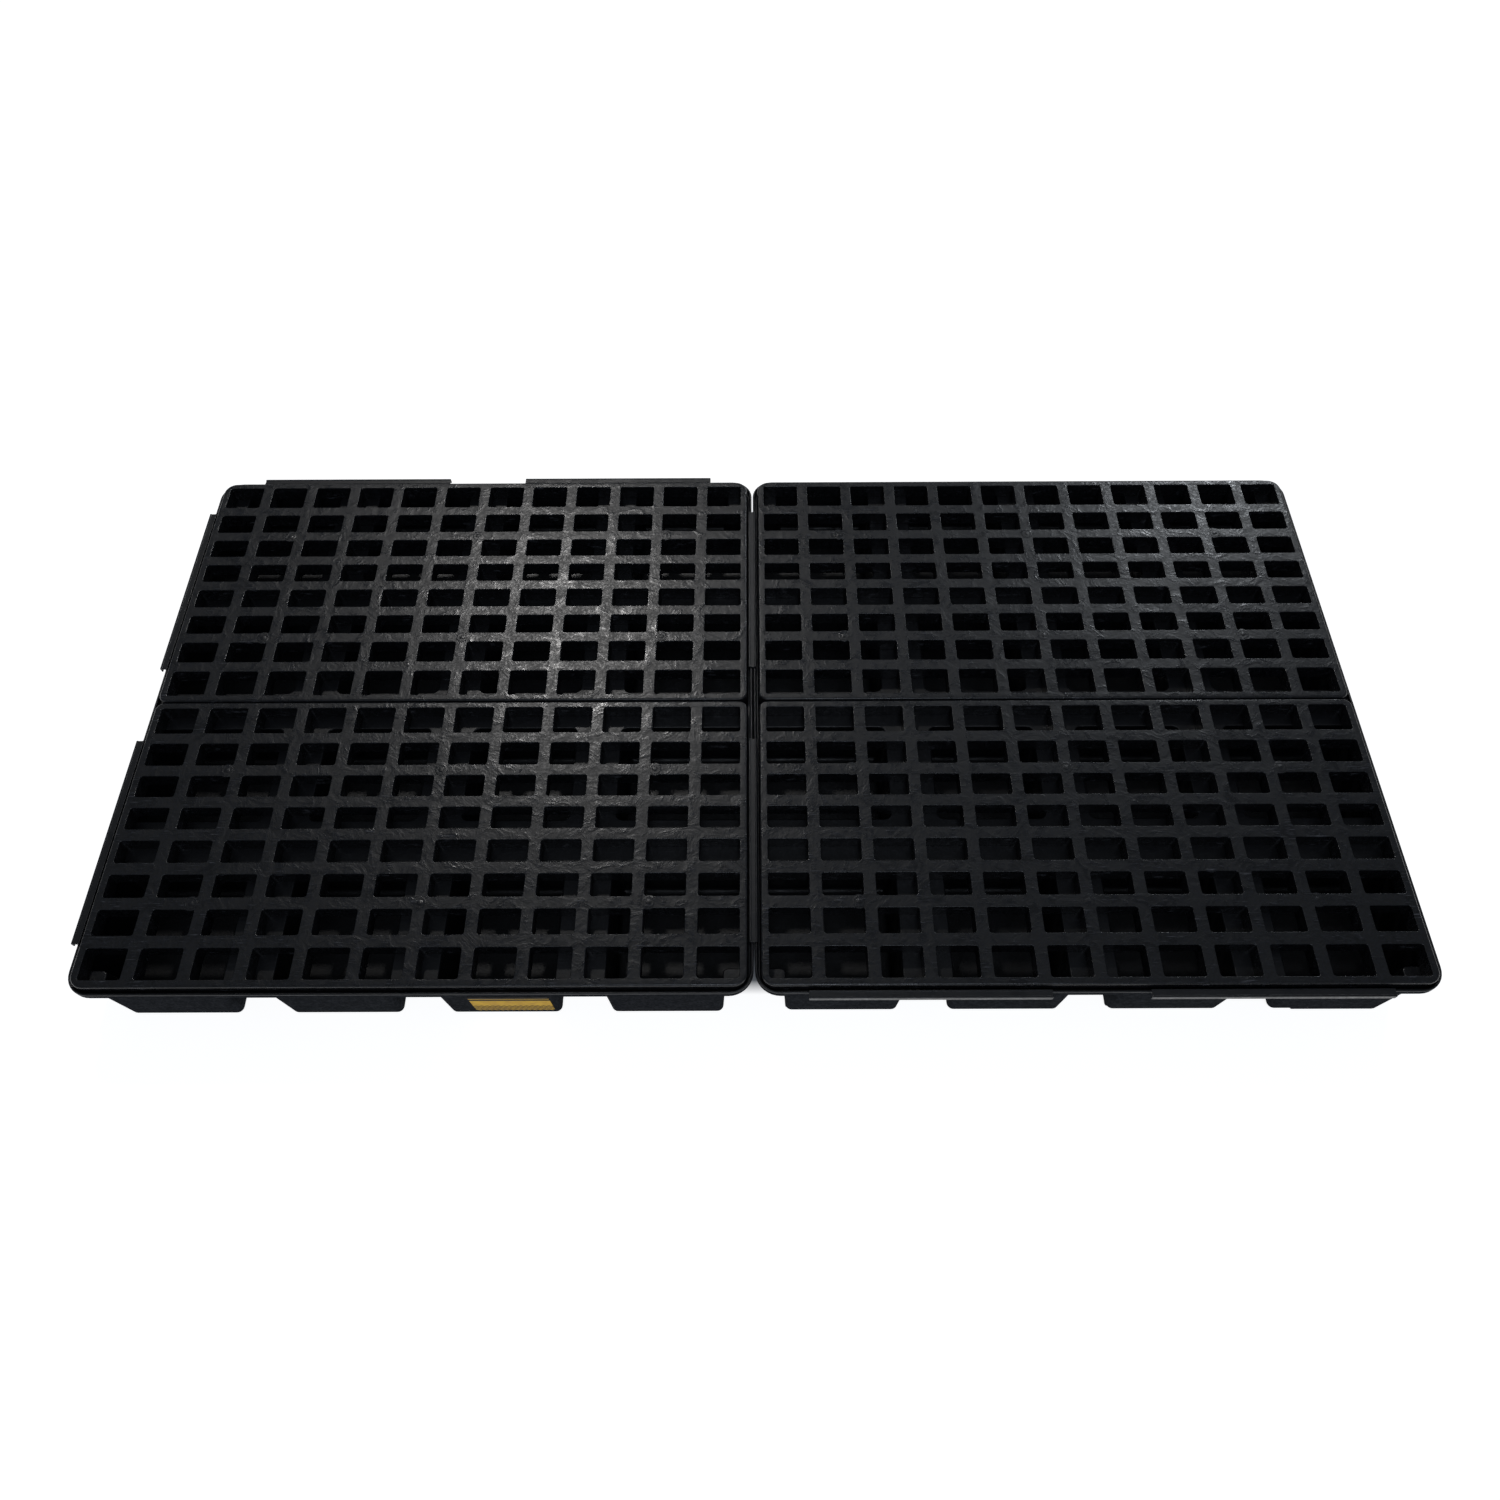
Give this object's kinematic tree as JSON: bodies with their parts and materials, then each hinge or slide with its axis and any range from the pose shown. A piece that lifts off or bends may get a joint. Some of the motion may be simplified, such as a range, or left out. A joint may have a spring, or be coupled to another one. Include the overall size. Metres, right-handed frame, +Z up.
{
  "type": "spill containment pallet",
  "caption": "Low-profile spill containment pallet: square sumps that hook together edge to edge, with lift-off open grates over wells that stand on the floor as feet.",
  "frame": {"origin": "middle of the whole pair, on the floor", "axes": "+X along the pair from the first sump to the second, +Y to the back, +Z up"},
  "size_m": [2.624, 1.327, 0.165],
  "materials": {
    "sump_plastic": "moulded black polyethylene, satin",
    "grate_plastic": "moulded black polyethylene, scuffed satin",
    "plate_vinyl": "printed yellow vinyl with dark slanted stripes"
  },
  "bodies": {
    "root": {"left_sump": "sump_plastic", "marking_plate": "plate_vinyl"},
    "left_front_grate": {"left_front_grate": "grate_plastic"},
    "left_back_grate": {"left_back_grate": "grate_plastic"},
    "right_sump": {"right_sump": "sump_plastic"},
    "right_front_grate": {"right_front_grate": "grate_plastic"},
    "right_back_grate": {"right_back_grate": "grate_plastic"}
  },
  "joints": [
    {"name": "left_front_grate_lift", "type": "slide", "parent": "root", "child": "left_front_grate", "axis": [0, 0, 1], "range_m": [0, 0.3]},
    {"name": "left_back_grate_lift", "type": "slide", "parent": "root", "child": "left_back_grate", "axis": [0, 0, 1], "range_m": [0, 0.3]},
    {"name": "right_sump_lift", "type": "slide", "parent": "root", "child": "right_sump", "axis": [0, 0, 1], "range_m": [0, 0.2]},
    {"name": "right_front_grate_lift", "type": "slide", "parent": "right_sump", "child": "right_front_grate", "axis": [0, 0, 1], "range_m": [0, 0.3]},
    {"name": "right_back_grate_lift", "type": "slide", "parent": "right_sump", "child": "right_back_grate", "axis": [0, 0, 1], "range_m": [0, 0.3]}
  ]
}
